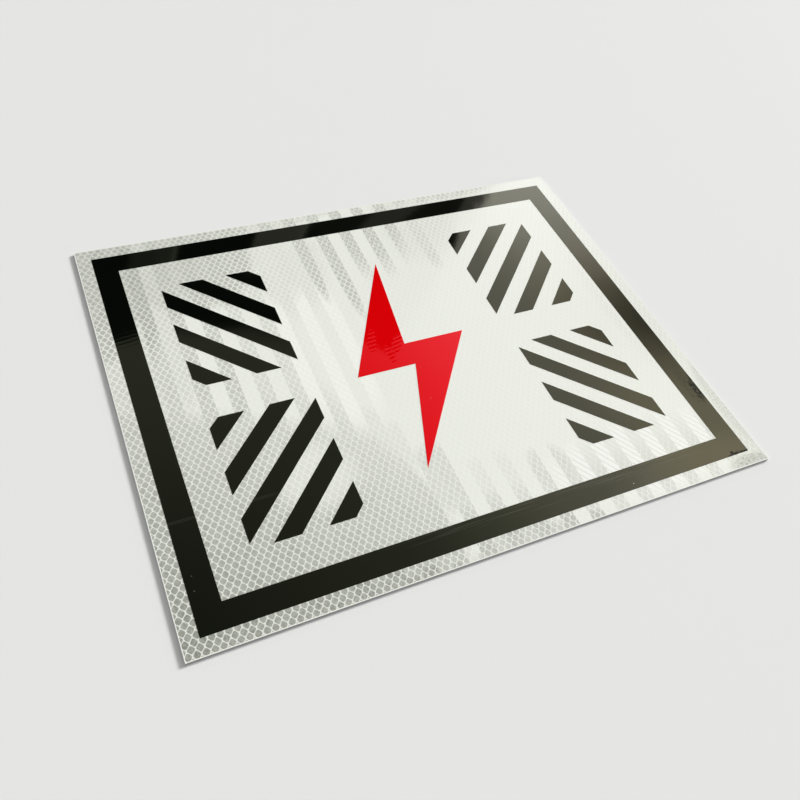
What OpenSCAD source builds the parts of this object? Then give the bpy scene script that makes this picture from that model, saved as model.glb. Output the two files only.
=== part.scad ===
// Flat rectangular high-voltage warning sign.
// An aluminium sheet carries white reflective sheeting over its whole face. A black border,
// a red lightning bolt and four fields of black diagonal stripes, all cut from thin film,
// are bonded on the sheeting.
// +X runs along the long side, +Y towards the sign's top edge and +Z out of its face.
// The origin is the centre of the plate's back face.

/* [Plate] */
// Length of the plate along its long side
plate_w = 300; // [240:5:450]
// Height of the plate from its bottom edge to its top edge
plate_h = 240; // [200:5:360]
// Thickness of the aluminium sheet
plate_t = 1; // [0.6:0.1:3]

/* [Reflective sheeting] */
// Thickness of the sheeting, cut flush with the plate's edges
sheeting_t = 0.4; // [0.2:0.05:0.8]

/* [Films] */
// Thickness of the black and red films
film_t = 0.1; // [0.05:0.01:0.3]

/* [Border] */
// Bare sheeting left between the plate's edge and the border
border_margin = 7.75; // [2:0.25:15]
// Width of the border's bars
border_w = 12; // [4:0.5:20]

/* [Lightning bolt] */
// Height of the bolt from its bottom point to its top point
bolt_h = 138; // [80:1:155]
// Width of the bolt across its two side points
bolt_w = 67.5; // [40:0.5:90]
// Height between the bolt's two level edges
bolt_step = 14.6; // [6:0.2:24]
// Place of the top point to the right of the plate's centre
bolt_top_x = 7.5; // [2:0.5:20]
// Place of the bottom point to the left of the plate's centre
bolt_bottom_x = 22.5; // [4:0.5:30]
// Place of the two inner corners to the left of the plate's centre
bolt_notch_x = 1.2; // [0:0.1:3]

/* [Striped fields] */
// Bare sheeting between a field and the border's bars
field_border_gap = 18; // [8:0.5:25]
// Bare sheeting between a field and the bolt's side point
field_bolt_gap = 25; // [10:0.5:30]
// Bare sheeting between an upper field and the lower one
field_row_gap = 20.5; // [8:0.5:30]
// Width of each stripe
stripe_w = 9; // [5:0.25:14]
// Bare sheeting between two stripes
stripe_gap = 9; // [5:0.25:14]
// Slope of the stripes, which point at the bolt
stripe_angle = 45; // [30:1:60]

/* [Hidden] */

alu_color = "#c3c5c7";
sheeting_color = "#dee0d8";
black_color = "#1c1e18";
red_color = "#d2101e";

face_z = plate_t + sheeting_t;

border_outer = [plate_w - 2 * border_margin, plate_h - 2 * border_margin];
border_inner = [border_outer[0] - 2 * border_w, border_outer[1] - 2 * border_w];

// The fields fill what the border and the bolt leave, less the bare gaps
field_inner_x = bolt_w / 2 + field_bolt_gap;
field_outer_x = border_inner[0] / 2 - field_border_gap;
field_inner_y = field_row_gap / 2;
field_outer_y = border_inner[1] / 2 - field_border_gap;
field_size = [field_outer_x - field_inner_x, field_outer_y - field_inner_y];
field_pos = [(field_outer_x + field_inner_x) / 2, (field_outer_y + field_inner_y) / 2];

stripe_pitch = stripe_w + stripe_gap;
// Half of the distance that the stripes have to span across the field's corners
stripe_reach = (field_size[0] * sin(stripe_angle) + field_size[1] * cos(stripe_angle)) / 2;
stripe_count = floor((stripe_reach + stripe_w / 2) / stripe_pitch);
stripe_length = norm(field_size);

module backing_plate() {
    color(alu_color)
        linear_extrude(plate_t)
            square([plate_w, plate_h], center = true);
}

module reflective_sheeting() {
    color(sheeting_color)
        translate([0, 0, plate_t])
            linear_extrude(sheeting_t)
                square([plate_w, plate_h], center = true);
}

// Film of one thickness on the sheeting's face, cut to the outline of its children
module film(film_color) {
    color(film_color)
        translate([0, 0, face_z])
            linear_extrude(film_t)
                children();
}

module border_film() {
    film(black_color)
        difference() {
            square(border_outer, center = true);
            square(border_inner, center = true);
        }
}

module bolt_film() {
    film(red_color)
        polygon([
            [bolt_top_x, bolt_h / 2],
            [-bolt_notch_x, bolt_step / 2],
            [bolt_w / 2, bolt_step / 2],
            [-bolt_bottom_x, -bolt_h / 2],
            [-bolt_notch_x, -bolt_step / 2],
            [-bolt_w / 2, -bolt_step / 2]
        ]);
}

// One field of stripes, on the side of the centre given by two signs
module striped_field(side_x, side_y) {
    film(black_color)
        translate([side_x * field_pos[0], side_y * field_pos[1]])
            intersection() {
                square(field_size, center = true);
                rotate(side_x * side_y * stripe_angle)
                    for (i = [-stripe_count : stripe_count])
                        translate([0, i * stripe_pitch])
                            square([stripe_length, stripe_w], center = true);
            }
}

module stripes_upper_left() {
    striped_field(-1, 1);
}

module stripes_upper_right() {
    striped_field(1, 1);
}

module stripes_lower_left() {
    striped_field(-1, -1);
}

module stripes_lower_right() {
    striped_field(1, -1);
}

backing_plate();
reflective_sheeting();
border_film();
bolt_film();
stripes_upper_left();
stripes_upper_right();
stripes_lower_left();
stripes_lower_right();
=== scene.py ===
import math
import bpy
from mathutils import Matrix, Vector


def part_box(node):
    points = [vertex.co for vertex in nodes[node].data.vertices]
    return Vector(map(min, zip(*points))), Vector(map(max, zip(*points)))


# A reflective warning sign lying on pale paper, seen from above its lower left corner

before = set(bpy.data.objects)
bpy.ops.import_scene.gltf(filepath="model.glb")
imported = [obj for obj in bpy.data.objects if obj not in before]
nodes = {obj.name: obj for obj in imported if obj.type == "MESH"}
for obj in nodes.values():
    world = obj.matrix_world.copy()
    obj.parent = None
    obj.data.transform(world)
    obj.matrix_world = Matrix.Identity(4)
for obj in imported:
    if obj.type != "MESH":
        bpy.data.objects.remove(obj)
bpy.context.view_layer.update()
mm = 0.001
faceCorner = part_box("reflective_sheeting")[1]
faceZ = faceCorner.z
halfLength, halfHeight = faceCorner.x / mm, faceCorner.y / mm
print("frame loaded:", len(nodes), "nodes, face at", round(faceZ / mm, 2), "mm")


# Tools for materials

def srgb(hexText):
    # sRGB hex colour as linear values with alpha
    parts = [int(hexText[i:i + 2], 16) / 255 for i in (1, 3, 5)]
    linear = [c / 12.92 if c <= 0.04045 else ((c + 0.055) / 1.055) ** 2.4 for c in parts]
    return (*linear, 1)


def addNode(tree, kind, values=(), **settings):
    # values go to the sockets in order, or by name or number from a dictionary. Nodes and sockets are linked.
    node = tree.nodes.new("ShaderNode" + kind)
    for name, setting in settings.items():
        setattr(node, name, setting)
    for key, value in values.items() if isinstance(values, dict) else enumerate(values):
        if isinstance(value, bpy.types.Node):
            value = value.outputs[0]
        if isinstance(value, bpy.types.NodeSocket):
            tree.links.new(value, node.inputs[key])
        else:
            node.inputs[key].default_value = value
    return node


def startMaterial(name):
    material = bpy.data.materials.new(name)
    material.use_nodes = True
    material.node_tree.nodes.clear()
    return material, material.node_tree


def placeInMm(tree):
    # Place on the sign in mm, as a vector and as its x and y
    place = addNode(tree, "TexCoord")
    inMm = addNode(tree, "VectorMath", {0: place.outputs["Object"], "Scale": 1 / mm}, operation="SCALE")
    inMm = addNode(tree, "VectorMath", [inMm.outputs[0], (1, 1, 0)], operation="MULTIPLY")
    parts = addNode(tree, "SeparateXYZ", [inMm])
    return inMm, parts.outputs["X"], parts.outputs["Y"]


def softPatches(tree, place, patches):
    # Soft oval patches, of which the strongest shows. Each is its middle, half size, turn in degrees, the
    # shares of the half size where it is still full and where it has gone, and its amount.
    total = 0.0
    for middle, half, turn, (full, none), amount in patches:
        oval = addNode(tree, "Mapping", [place, (*middle, 0), (0, 0, math.radians(turn)), (*half, 1)],
                       vector_type="TEXTURE")
        reach = addNode(tree, "VectorMath", [oval], operation="LENGTH").outputs["Value"]
        patch = addNode(tree, "MapRange", [reach, none, full, 0.0, amount],
                        interpolation_type="SMOOTHSTEP")
        total = addNode(tree, "Math", [patch, total], operation="MAXIMUM")
    return total


# Camera

view = {
    "aim": (-18.8 * mm, -27.1 * mm, faceZ),  # point of the sign's face in the middle of the picture
    "distance": 394.7 * mm,
    "heading": 33.4,  # degrees from +Y towards +X
    "down": 51.03,  # degrees below the horizon
    "roll": 12.54,  # degrees, the camera's right side lifted
    "sensor": 36,  # mm
    "lens": 35.32,  # mm, for that sensor
    "nearest": 10 * mm,
}


def buildCamera():
    heading, down = math.radians(view["heading"]), math.radians(view["down"])
    level = math.cos(down)
    forward = Vector((math.sin(heading) * level, math.cos(heading) * level, -math.sin(down)))
    data = bpy.data.cameras.new("camera")
    data.lens = view["lens"]
    data.sensor_width = view["sensor"]
    data.clip_start = view["nearest"]
    camera = bpy.data.objects.new("camera", data)
    bpy.context.scene.collection.objects.link(camera)
    roll = Matrix.Rotation(math.radians(view["roll"]), 4, "Z").to_quaternion()
    camera.rotation_mode = "QUATERNION"
    camera.rotation_quaternion = forward.to_track_quat("-Z", "Y") @ roll
    camera.location = Vector(view["aim"]) - view["distance"] * forward
    bpy.context.scene.camera = camera


buildCamera()
print("camera placed")


# Floor

floor = {
    "size": 8.0,
    "colour": "#e7e7e6",  # pale paper
    "roughness": 0.9,
    "paintedShine": 0.2,
}


def buildFloor():
    # Matt paper: an even, neutral white with hardly any shine
    half = floor["size"] / 2
    corners = [(-half, -half, 0), (half, -half, 0), (half, half, 0), (-half, half, 0)]
    mesh = bpy.data.meshes.new("floor")
    mesh.from_pydata(corners, [], [(0, 1, 2, 3)])
    ground = bpy.data.objects.new("floor", mesh)
    bpy.context.scene.collection.objects.link(ground)
    material, tree = startMaterial("matt_paper")
    paper = addNode(tree, "BsdfPrincipled", {
        "Base Color": srgb(floor["colour"]),
        "Roughness": floor["roughness"],
        "Specular IOR Level": floor["paintedShine"],
    })
    addNode(tree, "OutputMaterial", [paper])
    mesh.materials.append(material)


buildFloor()
print("floor laid")


# Light
# The room is drawn on a level plane overhead, one unit up: u runs to the sign's right and v to its back.
# A range holds the two places it runs between and the two values there, or runs from 0 to 1.

light = {
    "pale": 0.78,  # brightness of the backdrop all round
    "paleBelow": (0.48, 0.36),  # rise of a ray, as a sine, where it starts and where it has taken over
    "overhead": 0.3,  # brightness of the room overhead and in front, which the face doesn't mirror
    "overheadFront": (0.33, 0.15),  # v
    "overheadLeft": (-0.05, -0.25),  # u
    "skylight": "#f4fff6",  # the room's colour on the left
    "white": "#ffffff",  # further to the right
    "whiteFrom": (0.3, 0.75),  # u
    "window": "#fff9e9",  # at the front of the right end
    "windowFrom": (0.7, 0.9),  # u
    "windowBelow": (1.0, 0.8),  # v
    "keyWay": (2.0, 0.65, 1.0),  # towards the soft lamp
    "keySpread": 15.0,  # degrees that the lamp takes up, which softens the shadow's edge
    "keyPower": 3.67,
}

room = {
    "leastRise": 0.1,  # of a ray, as a sine, so that a level one still has a place on the plane
    "rise": (0.32, 0.72, 0.40, 1.68),  # brightness from the left to the right
    "rightEnd": (0.72, 0.86, 0.0, 0.55),  # what its right end gains
    "backWindow": (0.85, 1.12, 0.0, 1.0),  # what the back window gains over v
    "backWindowFrom": (0.74, 0.84),  # u
    "frontWindow": [((0.86, 0.39), (0.15, 0.075), 0, (0.5, 1.3), 0.65)],
    "gap": [((1.04, 0.72), (0.30, 0.175), 0, (0.08, 1.25), 0.78)],  # between the windows
    "dim": (0.38, 0.86, 0.34, 1.06),  # what stays of the left end over v
    "dimUntil": (0.0, 0.38),  # u
}

# Each straight stretch of the wall's lower edge is its slope and its height v at u = 0
wall = {
    "first": (-0.39, 0.9833),
    "highest": 0.926,  # the first stretch stops there
    "second": (0.94, 0.333),
    "third": (2.67, -0.9207),
    "fourth": (1.052, 0.2941),
    "notch": 0.467,  # u of a small notch in it
    "notchShape": (0.03, 0.0, 0.0, 0.03),  # its depth, over the distance from there
    "blurLeft": (0.06, 0.2, 0.006, 0.03),  # half width of its soft edge, over u
    "blurRight": (0.34, 0.43, 0.03, 0.004),
    "dark": (0.42, 0.48, 0.002, 0.035),  # brightness over u
    "strip": (-0.816, -0.4345),  # a darker strip in front of it on the right
    "stripFrom": (0.74, 0.765),  # u
    "stripEdge": (-0.001, 0.001),
    "stripDepth": 0.85,
    "torn": (0.6, 0.75, 0.0, 0.07),  # how far the strip's edge wanders, over u
    "tornScale": 100.0,
}

# A slat is its left and right edge, each u at v = 0 with its lean, how soft they are, its strength, and the
# strength of the bright line down its right edge
slats = {
    "bright": 0.28,  # what a slat of strength 1 adds to the wall
    "from": (1.02, 1.06),  # v
    "line": (0.003, 0.001),  # half width of the bright line, and of its full part
    "edges": [
        ((-0.2354, 0.307), (-0.2932, 0.43), 0.003, 0.4, 2.4),
        ((0.0005, 0.134), (-0.2932, 0.43), 0.003, 0.54, 2.4),
        ((-0.1961, 0.476), (-0.36, 0.714), 0.0025, 1.1, 3.0),
        ((-0.6903, 1.126), (-1.4944, 1.936), 0.005, 0.7, 1.8),
    ],
}


def roomPlane(tree):
    # A ray's place on the plane overhead, as a vector and as u and v, and how steeply up it goes
    way = addNode(tree, "TexCoord").outputs["Generated"]
    up = addNode(tree, "SeparateXYZ", [way]).outputs["Z"]
    height = addNode(tree, "Math", [up, room["leastRise"]], operation="MAXIMUM")
    inverse = addNode(tree, "Math", [1.0, height], operation="DIVIDE")
    plane = addNode(tree, "VectorMath", {0: way, "Scale": inverse}, operation="SCALE")
    plane = addNode(tree, "VectorMath", [plane, (1, 1, 0)], operation="MULTIPLY")
    parts = addNode(tree, "SeparateXYZ", [plane])
    return plane, parts.outputs["X"], parts.outputs["Y"], up


def drawWindows(tree, plane, u, v):
    # The room gets brighter to the right, where two windows stand one behind the other
    rise = addNode(tree, "MapRange", [u, *room["rise"]], interpolation_type="SMOOTHSTEP")
    rightEnd = addNode(tree, "MapRange", [u, *room["rightEnd"]], interpolation_type="SMOOTHSTEP")
    bright = addNode(tree, "Math", [rise, rightEnd], operation="ADD")
    back = addNode(tree, "MapRange", [v, *room["backWindow"]], interpolation_type="SMOOTHSTEP")
    backFrom = addNode(tree, "MapRange", [u, *room["backWindowFrom"]])
    back = addNode(tree, "Math", [back, backFrom], operation="MULTIPLY")
    bright = addNode(tree, "Math", [bright, back], operation="ADD")
    front = softPatches(tree, plane, room["frontWindow"])
    bright = addNode(tree, "Math", [bright, front], operation="ADD")
    gap = softPatches(tree, plane, room["gap"])
    gap = addNode(tree, "Math", [1.0, gap], operation="SUBTRACT")
    bright = addNode(tree, "Math", [bright, gap], operation="MULTIPLY")

    # The left end is dimmer low down
    dim = addNode(tree, "MapRange", [v, *room["dim"]], interpolation_type="SMOOTHSTEP")
    until = addNode(tree, "MapRange", [u, *room["dimUntil"]], interpolation_type="SMOOTHSTEP")
    dim = addNode(tree, "Mix", {0: until, 2: dim, 3: 1.0}, data_type="FLOAT")
    return addNode(tree, "Math", [bright, dim], operation="MULTIPLY")


def drawStrip(tree, plane, u, v):
    # The dark strip's share of the light, under a torn edge
    noise = addNode(tree, "TexNoise", {"Vector": plane, "Scale": wall["tornScale"], "Detail": 3.0})
    ragged = addNode(tree, "Math", [noise.outputs["Fac"], 0.5], operation="SUBTRACT")
    torn = addNode(tree, "MapRange", [u, *wall["torn"]])
    ragged = addNode(tree, "Math", [ragged, torn], operation="MULTIPLY")
    above = addNode(tree, "Math", [u, *wall["strip"]], operation="MULTIPLY_ADD")
    above = addNode(tree, "Math", [v, above], operation="ADD")
    above = addNode(tree, "Math", [above, ragged], operation="ADD")
    strip = addNode(tree, "MapRange", [above, *wall["stripEdge"]])
    stripFrom = addNode(tree, "MapRange", [u, *wall["stripFrom"]])
    strip = addNode(tree, "Math", [strip, stripFrom], operation="MULTIPLY")
    return addNode(tree, "Math", [strip, -wall["stripDepth"], 1.0], operation="MULTIPLY_ADD")


def drawWall(tree, u, v):
    # Where the dark back wall is, above a bent edge that is sharp at its left end and from the middle on
    edge = {name: addNode(tree, "Math", [u, *wall[name]], operation="MULTIPLY_ADD")
            for name in ("first", "second", "third", "fourth")}
    left = addNode(tree, "Math", [edge["first"], wall["highest"]], operation="MINIMUM")
    right = addNode(tree, "Math", [edge["third"], edge["fourth"]], operation="MINIMUM")
    bend = addNode(tree, "Math", [left, edge["second"]], operation="MAXIMUM")
    bend = addNode(tree, "Math", [bend, right], operation="MAXIMUM")
    notch = addNode(tree, "Math", [u, wall["notch"]], operation="SUBTRACT")
    notch = addNode(tree, "Math", [notch], operation="ABSOLUTE")
    notch = addNode(tree, "MapRange", [notch, *wall["notchShape"]])
    bend = addNode(tree, "Math", [bend, notch], operation="SUBTRACT")
    above = addNode(tree, "Math", [v, bend], operation="SUBTRACT")
    blur = addNode(tree, "MapRange", [u, *wall["blurLeft"]], interpolation_type="SMOOTHSTEP")
    crisp = addNode(tree, "MapRange", [u, *wall["blurRight"]], interpolation_type="SMOOTHSTEP")
    blur = addNode(tree, "Math", [blur, crisp], operation="MINIMUM")
    above = addNode(tree, "Math", [above, blur], operation="DIVIDE")
    return addNode(tree, "MapRange", [above, -1.0, 1.0], interpolation_type="SMOOTHSTEP")


def drawSlats(tree, u, v):
    # The wall's own brightness, with the pale slats that stand before it
    total = 0.0
    for (leftStart, leftLean), (rightStart, rightLean), soft, strength, bright in slats["edges"]:
        left = addNode(tree, "Math", [v, -leftLean, u], operation="MULTIPLY_ADD")
        left = addNode(tree, "MapRange", [left, leftStart - soft, leftStart + soft, 0.0, strength],
                       interpolation_type="SMOOTHSTEP")
        right = addNode(tree, "Math", [v, -rightLean, u], operation="MULTIPLY_ADD")
        right = addNode(tree, "Math", [right, rightStart], operation="SUBTRACT")
        slat = addNode(tree, "MapRange", [right, soft, -soft], interpolation_type="SMOOTHSTEP")
        slat = addNode(tree, "Math", [left, slat], operation="MULTIPLY")
        total = addNode(tree, "Math", [slat, total], operation="MAXIMUM")
        line = addNode(tree, "Math", [right], operation="ABSOLUTE")
        line = addNode(tree, "MapRange", [line, *slats["line"], 0.0, bright])
        total = addNode(tree, "Math", [line, total], operation="MAXIMUM")
    high = addNode(tree, "MapRange", [v, *slats["from"]], interpolation_type="SMOOTHSTEP")
    total = addNode(tree, "Math", [total, high], operation="MULTIPLY")
    dark = addNode(tree, "MapRange", [u, *wall["dark"]], interpolation_type="SMOOTHSTEP")
    return addNode(tree, "Math", [total, slats["bright"], dark], operation="MULTIPLY_ADD")


def buildWorld():
    # A soft room round the sign, with the windows, wall and slats that its glossy films mirror
    world = bpy.data.worlds.new("soft_room")
    bpy.context.scene.world = world
    world.use_nodes = True
    tree = world.node_tree
    tree.nodes.clear()
    plane, u, v, up = roomPlane(tree)
    bright = drawWindows(tree, plane, u, v)
    bright = addNode(tree, "Math", [bright, drawStrip(tree, plane, u, v)], operation="MULTIPLY")
    bright = addNode(tree, "Mix", {0: drawWall(tree, u, v), 2: bright, 3: drawSlats(tree, u, v)},
                     data_type="FLOAT")

    # What the face doesn't mirror: the room overhead and in front, and the pale backdrop
    front = addNode(tree, "MapRange", [v, *light["overheadFront"]], interpolation_type="SMOOTHSTEP")
    side = addNode(tree, "MapRange", [u, *light["overheadLeft"]], interpolation_type="SMOOTHSTEP")
    front = addNode(tree, "Math", [front, side], operation="MAXIMUM")
    bright = addNode(tree, "Mix", {0: front, 2: bright, 3: light["overhead"]}, data_type="FLOAT")
    low = addNode(tree, "MapRange", [up, *light["paleBelow"]], interpolation_type="SMOOTHSTEP")
    bright = addNode(tree, "Mix", {0: low, 2: bright, 3: light["pale"]}, data_type="FLOAT")

    right = addNode(tree, "MapRange", [u, *light["whiteFrom"]], interpolation_type="SMOOTHSTEP")
    window = addNode(tree, "MapRange", [u, *light["windowFrom"]], interpolation_type="SMOOTHSTEP")
    below = addNode(tree, "MapRange", [v, *light["windowBelow"]])
    window = addNode(tree, "Math", [window, below], operation="MULTIPLY")
    plain = addNode(tree, "Math", [low, front], operation="MAXIMUM")
    colour = srgb(light["skylight"])
    for share, name in ((right, "white"), (window, "window"), (plain, "white")):
        colour = addNode(tree, "Mix", {0: share, 6: colour, 7: srgb(light[name])},
                         data_type="RGBA").outputs[2]
    background = addNode(tree, "Background", [colour, bright])
    addNode(tree, "OutputWorld", [background])


def buildLamp():
    # One soft lamp far off at the back right, low enough to draw the thin shadow at the left and front
    data = bpy.data.lights.new("softbox", "SUN")
    data.angle = math.radians(light["keySpread"])
    data.energy = light["keyPower"]
    lamp = bpy.data.objects.new("softbox", data)
    lamp.rotation_mode = "QUATERNION"
    lamp.rotation_quaternion = Vector(light["keyWay"]).to_track_quat("Z", "Y")
    bpy.context.scene.collection.objects.link(lamp)


buildWorld()
buildLamp()
print("light set")


# Reflective sheeting
# Prisms in bands of two kinds, each kind with painted shade in its own patches where its prisms look past the
# light. All places and sizes are in mm.

sheeting = {
    "cellWidth": 3.49,  # between two cells in a row
    "rowStep": 2.63,  # between two rows, each half a cell along from the last
    "upright": 0.7,  # height of the short seal between two cells in a row
    "roundPoint": 1.7,  # how round the cells are at their points
    "roundSide": 0.9,  # and at their sides
    "seal": (-20.0, 70.0, 0.35, 0.57),  # width of the seals, from low on the sign to high on it
    "sealEdge": (0.14, -0.14),  # how soft their edges are
    "rim": 0.4,  # width of the sealed edge
    "rimEdge": (0.08, -0.08),
    "junctionPaintedGlint": (-0.1, -0.3),  # distance into the seals where a painted glint dot starts and is full
    "bandPitch": 14.6,  # from one band of prisms to the next of its kind
    "bandMiddle": 0.0,  # of the first kind, from the sign's centre to the right
    "bandEdge": 0.012,  # half of the stretch where one kind turns to the other, as a share of the pitch
    "bandRough": 1.2,  # how far that edge strays
    "wander": 0.9,  # how far the cells stray from straight rows
    "wanderSize": 9,
    "grainSize": 1.4,  # real prisms are a tenth of this, which is too fine to show
    "shake": (0.22, 0.3),  # how far the grain shakes the falling and the rising lines
    "fallingLine": (0.36, 0.45),  # where a line starts and is full, as a share of a cell
    "risingLine": (0.12, 0.03),
    "white": "#eff1e9",
    "paintedShadeGrey": "#686b5e",  # painted shade: the grey that a wholly closed prism would show
    "paintedShineWhite": "#fbfcf6",  # painted highlight: an open prism that sends the light back
    "leastPaintedShade": 0.05,  # least painted shade: how closed the prisms are everywhere
    "uneven": (0.93, 1.07),  # how much that varies from cell to cell
    "fleck": (0.3, 0.7, 0.85, 1.15),  # and over each cell
    "cornerShade": (-75.0, -270.0, 0.22, 0.77),  # painted shade over the lower left corner, where the prisms close, over x + y
    "firstSlant": (-0.466, -58.0),  # where the corner's painted shade ends for the first kind, as y over x
    "firstSteep": (-4.0, -182.0),
    "firstLowest": -88.0,
    "firstSoft": (12.0, -12.0),
    "secondSlant": (-0.46, -58.0),  # and for the second kind, as x over y
    "secondBetween": (-58.0, -27.0),
    "secondSoft": (14.0, -10.0),
    # Patches of painted shade for the first kind of band
    "firstShadePatches": [
        ((-86, 104), (30, 46), 0, (0.8, 1.1), 0.42),  # top left
        ((-150, 98), (29, 66), 0, (0.85, 1.1), 0.5),
        ((-117, 60), (7, 70), 0, (0.7, 1.2), 0.24),
        ((-112, 100), (16, 44), 0, (0.7, 1.1), 0.36),
        ((8, 136), (46, 88), 0, (0.6, 1.05), 0.42),  # top middle
        ((-14.6, 90), (5.5, 62), 0, (0.75, 1.1), 0.4),
        ((-29.2, 110), (5.5, 70), 0, (0.75, 1.0), 0.4),
        ((-50, 82), (15, 36), 0, (0.7, 1.1), 0.18),
        ((42, 88), (14, 34), 0, (0.6, 1.2), 0.24),
        ((-30, 136), (84, 26), 0, (0.85, 1.05), 0.42),  # top edge
        ((70, 136), (60, 26), 0, (0.75, 1.05), 0.34),
        ((150, 10), (26, 120), 0, (0.6, 1.1), 0.1),  # right end
        ((-152, 34), (31, 78), 0, (0.75, 1.1), 0.3),  # left end
        ((8, -136), (66, 30), 0, (0.8, 1.0), 0.44),  # bottom edge
        ((-76, -136), (72, 30), 0, (0.8, 1.0), 0.66),
        ((80, -136), (60, 30), 0, (0.7, 1.0), 0.12),
        ((36, -90), (14, 18), 0, (0.6, 1.2), 0.24),  # low in the middle
        ((6, -86), (26, 20), 0, (0.5, 1.2), 0.12),
        ((-14, -76), (10, 22), 0, (0.6, 1.2), 0.24),
        ((-29, -54), (8, 20), 0, (0.5, 1.2), 0.14),
        ((52, 116), (34, 66), -22, (0.5, 1.15), 0.16),  # right of the top middle
    ],
    # Patches of painted shade for the second kind of band
    "secondShadePatches": [
        ((-104, 110), (52, 62), 0, (0.8, 1.12), 0.46),  # top left
        ((-156, 84), (44, 84), 0, (0.8, 1.15), 0.56),  # left end
        ((-122, 20), (44, 66), 0, (0.75, 1.1), 0.36),
        ((-50, 90), (34, 52), 0, (0.7, 1.2), 0.16),
        ((-92, -136), (76, 30), 0, (0.75, 1.0), 0.66),  # bottom edge
        ((4, -136), (40, 30), 0, (0.75, 1.0), 0.34),
        ((-50, 136), (70, 26), 0, (0.85, 1.05), 0.24),  # top edge
        ((80, 136), (48, 26), 0, (0.75, 1.05), 0.25),
        ((-21, -76), (9, 22), 0, (0.6, 1.2), 0.22),  # low in the middle
        ((-38, -42), (10, 20), 0, (0.5, 1.2), 0.14),
        ((146, 10), (30, 120), 0, (0.6, 1.1), 0.1),  # right end
        ((52, 116), (34, 66), -22, (0.5, 1.15), 0.16),  # right of the top middle
    ],
    "open": [((-74, -56), (22, 20), 0, (0.5, 1.2), 0.6)],  # what takes the painted shade away again
    "threads": [((-4, 124), (66, 60), 0, (0.5, 1.2), 0.9)],
    "threadSize": 2.4,
    "threadEdge": (0.4, 0.6),
    "faintSeals": [((-128, 108), (60, 60), 0, (0.4, 1.2), 0.32)],
    "sealWhite": 0.76,  # how much of the painted shade the seals leave off
    # Patches of painted highlight for each kind of band
    "firstPaintedShine": [((-42, 15), (26, 52), 0, (0.7, 1.15), 0.7)],
    "secondPaintedShine": [((88, -96), (53, 20), 0, (0.7, 1.3), 1.0)],
    "paintedShineLines": -0.9,  # what the falling lines take from the painted shine
    "sealPaintedShine": 0.5,  # how much of the painted shade comes back as painted shine in the seals
    "shineBandPaintedShade": (0.13, 0.07),  # painted shade of the painted-shine bands, in the lines and between them
    "scuffs": [
        ((140, -118.5), (15, 6), 0, (0.5, 1.2), 0.58),
        ((152, -82), (9, 36), 0, (0.7, 1.2), 0.34),
    ],
    "scuffSize": 1.3,
    "scuffEdge": (0.38, 0.62),
    "scuffSpread": (0.65, 0.4),  # what the mottling adds, and what is there without it
    "pillow": (0.0, 0.7, 0.0, 0.004),  # how far the face stands up over the cells
    "grainHeight": 0.002,
    "roughness": 0.5,
    "coat": 0.5,
    "coatRoughness": 0.08,
}


def cellPattern(tree, x, y):
    # Long six-sided cells in staggered rows, as the distance in mm from each cell's seal, and its place along
    # the falling and the rising slant
    half, step = sheeting["cellWidth"] / 2, sheeting["rowStep"]
    climb = step - sheeting["upright"]
    slope = climb / half
    slant = math.hypot(1, slope)
    reach = (climb + sheeting["upright"] / 2) / slant
    across = addNode(tree, "Math", [x, half], operation="PINGPONG")
    upward = addNode(tree, "Math", [y, step], operation="PINGPONG")
    otherAcross = addNode(tree, "Math", [half, across], operation="SUBTRACT")
    otherUpward = addNode(tree, "Math", [step, upward], operation="SUBTRACT")
    total = -9.0  # far outside any cell
    for dx, dy, side in ((across, upward, otherAcross), (otherAcross, otherUpward, across)):
        mirrored = addNode(tree, "Math", [dx, -1.0], operation="MULTIPLY")
        rounded = addNode(tree, "Math", [dx, mirrored, sheeting["roundPoint"]], operation="SMOOTH_MAX")
        inside = addNode(tree, "Math", [rounded, -slope / slant, reach], operation="MULTIPLY_ADD")
        inside = addNode(tree, "Math", [dy, -1 / slant, inside], operation="MULTIPLY_ADD")
        inside = addNode(tree, "Math", [inside, side, sheeting["roundSide"]], operation="SMOOTH_MIN")
        total = addNode(tree, "Math", [inside, total], operation="MAXIMUM")
    along = addNode(tree, "Math", [x, 1 / sheeting["cellWidth"]], operation="MULTIPLY")
    falling = addNode(tree, "Math", [y, 0.5 / step, along], operation="MULTIPLY_ADD")
    rising = addNode(tree, "Math", [y, -0.5 / step, along], operation="MULTIPLY_ADD")
    return total, falling, rising


def firstBands(tree, x, grain):
    # 1 in the bands of the first kind, which run up the sign with slightly rough edges, and 0 between them
    pitch, soft, rough = sheeting["bandPitch"], sheeting["bandEdge"], sheeting["bandRough"]
    middle = sheeting["bandMiddle"] + rough / 2  # the grain's own middle is a half
    bands = addNode(tree, "Math", [grain, rough, x], operation="MULTIPLY_ADD")
    bands = addNode(tree, "Math", [bands, 1 / pitch, -middle / pitch], operation="MULTIPLY_ADD")
    bands = addNode(tree, "Math", [bands, 0.5], operation="PINGPONG")
    return addNode(tree, "MapRange", [bands, 0.25 + soft, 0.25 - soft], interpolation_type="SMOOTHSTEP")


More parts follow.
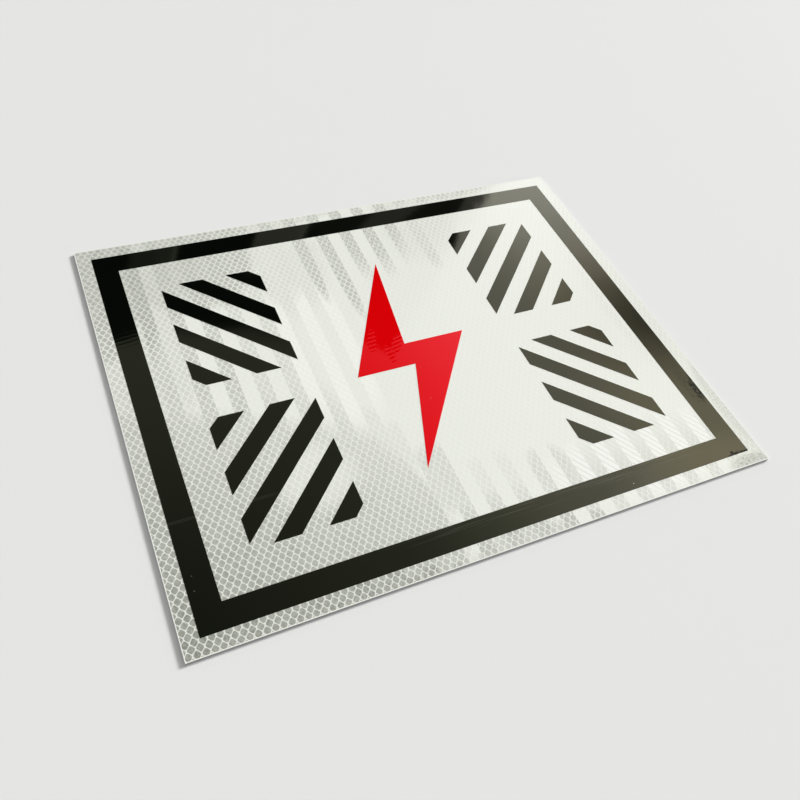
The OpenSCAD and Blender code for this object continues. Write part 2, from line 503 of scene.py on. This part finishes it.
def cornerPaintedShade(tree, x, y, bentX, bentY):
    # Painted shade over the lower left corner, where the prisms close evenly, up to another line in each kind
    # of band
    down = addNode(tree, "Math", [x, y], operation="ADD")
    cornerShade = addNode(tree, "MapRange", [down, *sheeting["cornerShade"]])
    first = addNode(tree, "Math", [bentX, *sheeting["firstSlant"]], operation="MULTIPLY_ADD")
    steep = addNode(tree, "Math", [bentX, *sheeting["firstSteep"]], operation="MULTIPLY_ADD")
    first = addNode(tree, "Math", [first, steep], operation="MINIMUM")
    first = addNode(tree, "Math", [first, sheeting["firstLowest"]], operation="MAXIMUM")
    first = addNode(tree, "Math", [bentY, first], operation="SUBTRACT")
    first = addNode(tree, "MapRange", [first, *sheeting["firstSoft"]], interpolation_type="SMOOTHSTEP")
    first = addNode(tree, "Math", [first, cornerShade], operation="MULTIPLY")
    leftmost, rightmost = sheeting["secondBetween"]
    second = addNode(tree, "Math", [bentY, *sheeting["secondSlant"]], operation="MULTIPLY_ADD")
    second = addNode(tree, "Math", [second, leftmost], operation="MAXIMUM")
    second = addNode(tree, "Math", [second, rightmost], operation="MINIMUM")
    second = addNode(tree, "Math", [bentX, second], operation="SUBTRACT")
    second = addNode(tree, "MapRange", [second, *sheeting["secondSoft"]], interpolation_type="SMOOTHSTEP")
    second = addNode(tree, "Math", [second, cornerShade], operation="MULTIPLY")
    return first, second


def dressSheeting():
    # White prismatic sheeting: a clear glossy face over rows of sealed cells. The seals are matt white. The
    # cells carry painted shade (grey) where the prisms look past the light, and painted highlight where they
    # send it back.
    material, tree = startMaterial("prismatic_sheeting")
    place, x, y = placeInMm(tree)
    grain = addNode(tree, "TexNoise",
                    {"Vector": place, "Scale": 1 / sheeting["grainSize"], "Detail": 2.0}).outputs["Fac"]
    wander = addNode(tree, "TexNoise",
                     {"Vector": place, "Scale": 1 / sheeting["wanderSize"], "Detail": 1.0}).outputs["Color"]
    wander = addNode(tree, "VectorMath", [wander, (0.5, 0.5, 0.5)], operation="SUBTRACT")
    stray = (sheeting["wander"], sheeting["wander"], 0)
    bent = addNode(tree, "VectorMath", [wander, stray, place], operation="MULTIPLY_ADD")
    parts = addNode(tree, "SeparateXYZ", [bent])
    bentX, bentY = parts.outputs["X"], parts.outputs["Y"]
    inside, falling, rising = cellPattern(tree, bentX, bentY)
    width = addNode(tree, "MapRange", [y, *sheeting["seal"]], interpolation_type="SMOOTHSTEP")
    within = addNode(tree, "Math", [width, -0.5, inside], operation="MULTIPLY_ADD")
    seal = addNode(tree, "MapRange", [within, *sheeting["sealEdge"]], interpolation_type="SMOOTHSTEP")

    # Fine lines along both slants, shaken a little: one falling line and two rising ones to a cell
    lines = []
    for along, shake, fold, name in ((falling, sheeting["shake"][0], 0.5, "fallingLine"),
                                     (rising, sheeting["shake"][1], 0.25, "risingLine")):
        line = addNode(tree, "Math", [grain, shake, along], operation="MULTIPLY_ADD")
        line = addNode(tree, "Math", [line, fold], operation="PINGPONG")
        lines.append(addNode(tree, "MapRange", [line, *sheeting[name]], interpolation_type="SMOOTHSTEP"))
    fallingLine, risingLine = lines

    # Painted shade: how closed the prisms are, uneven from cell to cell and over each cell
    first = firstBands(tree, x, grain)
    firstCornerShade, secondCornerShade = cornerPaintedShade(tree, x, y, bentX, bentY)
    firstShadePatch = softPatches(tree, bent, sheeting["firstShadePatches"])
    secondShadePatch = softPatches(tree, bent, sheeting["secondShadePatches"])
    # Painted shade of each kind of band, from its patches and the lower left corner
    firstPaintedShade = addNode(tree, "Math", [firstShadePatch, firstCornerShade], operation="MAXIMUM")
    secondPaintedShade = addNode(tree, "Math", [secondShadePatch, secondCornerShade], operation="MAXIMUM")
    paintedShade = addNode(tree, "Mix", {0: first, 2: secondPaintedShade, 3: firstPaintedShade}, data_type="FLOAT")
    kept = softPatches(tree, bent, sheeting["open"])
    kept = addNode(tree, "Math", [1.0, kept], operation="SUBTRACT")
    paintedShade = addNode(tree, "Math", [paintedShade, kept], operation="MULTIPLY")
    paintedShade = addNode(tree, "Math", [paintedShade, sheeting["leastPaintedShade"]], operation="MAXIMUM")
    column = addNode(tree, "Math", [falling], operation="ROUND")
    row = addNode(tree, "Math", [rising], operation="ROUND")
    cell = addNode(tree, "CombineXYZ", [column, row])
    chance = addNode(tree, "TexWhiteNoise", [cell]).outputs["Value"]
    uneven = addNode(tree, "MapRange", [chance, 0.0, 1.0, *sheeting["uneven"]])
    paintedShade = addNode(tree, "Math", [paintedShade, uneven], operation="MULTIPLY")
    fleck = addNode(tree, "MapRange", [grain, *sheeting["fleck"]])
    paintedShade = addNode(tree, "Math", [paintedShade, fleck], operation="MULTIPLY")

    # The seals keep white, free of the painted shade. At the top middle the painted shade shows in them as
    # slanting threads instead.
    torn = addNode(tree, "TexNoise",
                   {"Vector": place, "Scale": 1 / sheeting["threadSize"], "Detail": 1.0}).outputs["Fac"]
    torn = addNode(tree, "MapRange", [torn, *sheeting["threadEdge"]], interpolation_type="SMOOTHSTEP")
    thread = softPatches(tree, place, sheeting["threads"])
    thread = addNode(tree, "Math", [thread, torn], operation="MULTIPLY")
    seam = addNode(tree, "Mix", {0: thread, 2: seal, 3: risingLine}, data_type="FLOAT")
    faint = softPatches(tree, place, sheeting["faintSeals"])
    faint = addNode(tree, "Math", [faint, sheeting["sealWhite"]], operation="SUBTRACT")
    stays = addNode(tree, "Math", [seam, faint, 1.0], operation="MULTIPLY_ADD")
    # Painted shade left in the cells between the white seals
    paintedShadeInCells = addNode(tree, "Math", [paintedShade, stays], operation="MULTIPLY")

    # Painted highlight where open prisms send the light back, with falling threads between them, and painted
    # shine in seals within the painted shade
    firstPaintedShine = softPatches(tree, bent, sheeting["firstPaintedShine"])
    secondPaintedShine = softPatches(tree, bent, sheeting["secondPaintedShine"])
    paintedShine = addNode(tree, "Mix", {0: first, 2: secondPaintedShine, 3: firstPaintedShine}, data_type="FLOAT")
    between = addNode(tree, "Math", [fallingLine, sheeting["paintedShineLines"], 1.0], operation="MULTIPLY_ADD")
    paintedShine = addNode(tree, "Math", [paintedShine, between], operation="MULTIPLY")
    sealPaintedShine = addNode(tree, "Math", [paintedShade, sheeting["sealPaintedShine"]], operation="MULTIPLY")
    sealPaintedShine = addNode(tree, "Math", [seal, sealPaintedShine], operation="MULTIPLY")
    paintedShine = addNode(tree, "Math", [paintedShine, sealPaintedShine], operation="MAXIMUM")
    # Painted shade within the second kind's painted-shine bands
    shineBandPaintedShade = addNode(tree, "Math", [fallingLine, *sheeting["shineBandPaintedShade"]], operation="MULTIPLY_ADD")
    shineBandPaintedShade = addNode(tree, "Math", [shineBandPaintedShade, secondPaintedShine], operation="MULTIPLY")
    paintedShadeAndScuffs = addNode(tree, "Math", [shineBandPaintedShade, paintedShadeInCells], operation="MAXIMUM")

    # One corner and the margin above it are scuffed
    rubbed = addNode(tree, "TexNoise", {"Vector": place, "Scale": 1 / sheeting["scuffSize"], "Detail": 3.0,
                                        "Roughness": 0.7}).outputs["Fac"]
    rubbed = addNode(tree, "MapRange", [rubbed, *sheeting["scuffEdge"]])
    rubbed = addNode(tree, "Math", [rubbed, *sheeting["scuffSpread"]], operation="MULTIPLY_ADD")
    scuff = softPatches(tree, bent, sheeting["scuffs"])
    scuff = addNode(tree, "Math", [scuff, rubbed], operation="MULTIPLY")
    # The scuffs are real wear, joined here with the painted shade
    paintedShadeAndScuffs = addNode(tree, "Math", [paintedShadeAndScuffs, scuff], operation="MAXIMUM")

    # The cut edge is sealed all round, and a painted glint dot stands where seals meet
    outside = []
    for along, half in ((x, halfLength), (y, halfHeight)):
        away = addNode(tree, "Math", [along], operation="ABSOLUTE")
        outside.append(addNode(tree, "Math", [away, sheeting["rim"] - half], operation="ADD"))
    rim = addNode(tree, "Math", outside, operation="MAXIMUM")
    rim = addNode(tree, "MapRange", [rim, *sheeting["rimEdge"]])
    paintedShadeAndScuffs = addNode(tree, "Math", [paintedShadeAndScuffs, rim], operation="MULTIPLY")
    # Painted glint where seals meet
    junctionPaintedGlint = addNode(tree, "MapRange", [inside, *sheeting["junctionPaintedGlint"]], interpolation_type="SMOOTHSTEP")
    paintedShine = addNode(tree, "Math", [paintedShine, junctionPaintedGlint], operation="MAXIMUM")
    colour = srgb(sheeting["white"])
    # Painted highlight and painted shade are mixed into the sheeting's colour here
    for share, name in ((paintedShine, "paintedShineWhite"), (paintedShadeAndScuffs, "paintedShadeGrey")):
        colour = addNode(tree, "Mix", {0: share, 6: colour, 7: srgb(sheeting[name])},
                         data_type="RGBA").outputs[2]

    pillow = addNode(tree, "MapRange", [inside, *sheeting["pillow"]], interpolation_type="SMOOTHSTEP")
    height = addNode(tree, "Math", [grain, sheeting["grainHeight"], pillow], operation="MULTIPLY_ADD")
    relief = addNode(tree, "Bump", {"Strength": 1.0, "Distance": mm, "Height": height})
    shader = addNode(tree, "BsdfPrincipled", {
        "Base Color": colour,
        "Roughness": sheeting["roughness"],
        "Specular IOR Level": 0.0,
        "Normal": relief,
        "Coat Weight": sheeting["coat"],
        "Coat Roughness": sheeting["coatRoughness"],
        "Coat Normal": relief,
    })
    addNode(tree, "OutputMaterial", [shader])
    return material


# Black and red film
# Places and sizes are in mm. The first entries are for both films.

film = {
    "roughness": 0.035,
    "streaks": (1.6, 2.0, 0.0016),  # relief of the film's face, each with its size, detail and height
    "grain": (0.9, 2.0, 0.003),
    "waves": (30, 1.0, 0.06),
    "streakStretch": (0.14, 1, 0),  # along the sign
    "rowsLean": -0.12,  # how far the pressed rows lean from level
    "worn": "#b9bbae",  # what scratches and specks of dust show
    "speckSize": (0.4, 0.4),
    "crease": -59.2,  # how high up the sign it is
    "creaseGap": 0.4,  # from its middle to each of its two lines
    "creaseLine": (0.3, 0.05),  # half width of a line, and of its full part
    "scratchStretch": (0.02, 1, 0),  # along the sign
    "scratchSize": 0.8,
    "scratchEdge": (0.55, 0.68),
    "dulled": "#1c1b16",  # what is left of the shine in a scuff
    "strokeTurn": 28,  # degrees that a scuff's strokes lean to the left from upright
    "strokeSize": (1.0, 3.4, 1),
    "strokeEdge": (0.46, 0.53, 0.2, 1.0),
}

blackVinyl = {
    "colour": "#070906",
    "gloss": "#fffad2",  # its shine is warm
    "ior": 1.5,
    "level": 0.5,
    "pressed": [((-135, 50), (14, 12), 0, (0.5, 1.2), 0.001)],  # patches, with the height of the rows
    "specks": [((-138.7, -85.6), 0.1), ((-139.3, -92.4), 0.14), ((70.7, -109.3), 0.8)],
    "creased": [((-126, -59), (34, 4), 0, (0.8, 1.1), 0.035)],
    "drawn": [((30, -103), (100, 3.4), 0, (0.6, 1.1), 0.06)],
    "scuffed": [
        ((142.2, -68), (1.5, 9), 0, (0.6, 1.3), 2.0),  # right bar
        ((139.9, -70), (2.0, 8), 0, (0.4, 1.3), 1.5),
        ((137.5, -66), (4.5, 16), 0, (0.4, 1.2), 0.3),
        ((136, -112.1), (5.8, 1.0), 0, (0.8, 1.3), 2.4),  # lower right corner
        ((132.4, -111), (1.1, 1.4), 0, (0.5, 1.2), 2.4),
        ((136, -111), (0.8, 1.0), 0, (0.5, 1.2), 2.0),
    ],
}

redVinyl = {
    "colour": "#e20005",
    "gloss": "#fb4b62",  # it is clear red film, so the sheeting's own shine comes back through it
    "ior": 1.6,
    "level": 1.0,
    "pressed": [
        ((-5.5, 8), (2.4, 8), -34, (0.5, 1.2), 0.012),
        ((-11.5, 2), (1.9, 7), 0, (0.5, 1.2), 0.012),
        ((-17, 15), (2.6, 9.5), -20, (0.5, 1.2), 0.011),
    ],
    "specks": [((-3.2, -30.7), 0.25), ((0.4, -10.2), 0.08), ((5.2, -9.3), 0.08)],
    "creased": [],
    "drawn": [],
    "scuffed": [],
}


def filmRelief(tree, place, x, y, vinyl):
    # The face of the film: fine streaks, grain and slow waves, with rows of cells that press through it
    stretched = addNode(tree, "VectorMath", [place, film["streakStretch"]], operation="MULTIPLY")
    height = 0.0
    for where, name in ((stretched, "streaks"), (place, "grain"), (place, "waves")):
        size, detail, tall = film[name]
        noise = addNode(tree, "TexNoise", {"Vector": where, "Scale": 1 / size, "Detail": detail})
        height = addNode(tree, "Math", [noise.outputs["Fac"], tall, height], operation="MULTIPLY_ADD")
    rows = addNode(tree, "Math", [x, film["rowsLean"], y], operation="MULTIPLY_ADD")
    rows = addNode(tree, "Math", [rows, 2 * math.pi / sheeting["rowStep"]], operation="MULTIPLY")
    rows = addNode(tree, "Math", [rows], operation="SINE")
    pressed = softPatches(tree, place, vinyl["pressed"])
    height = addNode(tree, "Math", [rows, pressed, height], operation="MULTIPLY_ADD")
    return addNode(tree, "Bump", {"Strength": 1.0, "Distance": mm, "Height": height})


def filmWear(tree, place, y, vinyl):
    # Specks of dust on both films. The black one has a crease across its left bar, which is two thin lines,
    # and fine scratches along the bottom one.
    specks = [(middle, film["speckSize"], 0, (0.5, 1.0), amount) for middle, amount in vinyl["specks"]]
    worn = softPatches(tree, place, specks)
    if vinyl["creased"]:
        crease = addNode(tree, "Math", [y, film["crease"]], operation="SUBTRACT")
        crease = addNode(tree, "Math", [crease], operation="ABSOLUTE")
        crease = addNode(tree, "Math", [crease, film["creaseGap"]], operation="SUBTRACT")
        crease = addNode(tree, "Math", [crease], operation="ABSOLUTE")
        crease = addNode(tree, "MapRange", [crease, *film["creaseLine"]])
        creased = softPatches(tree, place, vinyl["creased"])
        crease = addNode(tree, "Math", [crease, creased], operation="MULTIPLY")
        worn = addNode(tree, "Math", [worn, crease], operation="MAXIMUM")
    if vinyl["drawn"]:
        lines = addNode(tree, "VectorMath", [place, film["scratchStretch"]], operation="MULTIPLY")
        lines = addNode(tree, "TexNoise", {"Vector": lines, "Scale": 1 / film["scratchSize"], "Detail": 1.0})
        lines = addNode(tree, "MapRange", [lines.outputs["Fac"], *film["scratchEdge"]])
        drawn = softPatches(tree, place, vinyl["drawn"])
        lines = addNode(tree, "Math", [lines, drawn], operation="MULTIPLY")
        worn = addNode(tree, "Math", [worn, lines], operation="MAXIMUM")
    return worn


def dressFilm(name, vinyl):
    # Cut vinyl film: deep even colour and a wet gloss, which scuffs in slanting strokes take away
    material, tree = startMaterial(name)
    place, x, y = placeInMm(tree)
    worn = filmWear(tree, place, y, vinyl)
    base = addNode(tree, "Mix", {0: worn, 6: srgb(vinyl["colour"]), 7: srgb(film["worn"])},
                   data_type="RGBA")
    tint = srgb(vinyl["gloss"])
    if vinyl["scuffed"]:
        turn = (0, 0, math.radians(film["strokeTurn"]))
        strokes = addNode(tree, "Mapping", [place, (0, 0, 0), turn, film["strokeSize"]],
                          vector_type="TEXTURE")
        strokes = addNode(tree, "TexNoise", {"Vector": strokes, "Scale": 1.0, "Detail": 1.0})
        strokes = addNode(tree, "MapRange", [strokes.outputs["Fac"], *film["strokeEdge"]])
        scuffed = softPatches(tree, place, vinyl["scuffed"])
        strokes = addNode(tree, "Math", [strokes, scuffed], operation="MULTIPLY")
        tint = addNode(tree, "Mix", {0: strokes, 6: tint, 7: srgb(film["dulled"])},
                       data_type="RGBA").outputs[2]
    shader = addNode(tree, "BsdfPrincipled", {
        "Base Color": base.outputs[2],
        "Roughness": film["roughness"],
        "IOR": vinyl["ior"],
        "Specular IOR Level": vinyl["level"],
        "Specular Tint": tint,
        "Normal": filmRelief(tree, place, x, y, vinyl),
    })
    addNode(tree, "OutputMaterial", [shader])
    return material


# Aluminium sheet

plate = {
    "colour": "#c9cbcd",
    "roughness": (0.3, 0.7, 0.3, 0.42),  # in the mill's lines and between them
    "lines": 0.5,  # mm apart
    "lineStretch": (0.02, 1, 1),  # along the sign
    "lineHeight": 0.003,  # mm
}


def dressPlate():
    # Rolled aluminium sheet: bright grey with fine straight lines from the mill, and sheared edges. The real
    # lines are too fine to show, so they are drawn as coarse as they need to be.
    material, tree = startMaterial("mill_aluminium")
    place = placeInMm(tree)[0]
    stretched = addNode(tree, "VectorMath", [place, plate["lineStretch"]], operation="MULTIPLY")
    lines = addNode(tree, "TexNoise", {"Vector": stretched, "Scale": 1 / plate["lines"], "Detail": 3.0})
    lines = lines.outputs["Fac"]
    rough = addNode(tree, "MapRange", [lines, *plate["roughness"]])
    height = addNode(tree, "Math", [lines, plate["lineHeight"]], operation="MULTIPLY")
    relief = addNode(tree, "Bump", {"Strength": 1.0, "Distance": mm, "Height": height})
    shader = addNode(tree, "BsdfPrincipled", {
        "Base Color": srgb(plate["colour"]),
        "Metallic": 1.0,
        "Roughness": rough,
        "Normal": relief,
    })
    addNode(tree, "OutputMaterial", [shader])
    return material


blackFilm = dressFilm("black_film", blackVinyl)
dress = {
    "backing_plate": dressPlate(),
    "reflective_sheeting": dressSheeting(),
    "border_film": blackFilm,
    "bolt_film": dressFilm("red_film", redVinyl),
    "stripes_upper_left": blackFilm,
    "stripes_upper_right": blackFilm,
    "stripes_lower_left": blackFilm,
    "stripes_lower_right": blackFilm,
}
for name, material in dress.items():
    mesh = nodes[name].data
    mesh.materials.clear()
    mesh.materials.append(material)
print("materials set")

bpy.context.scene.view_settings.view_transform = "Standard"
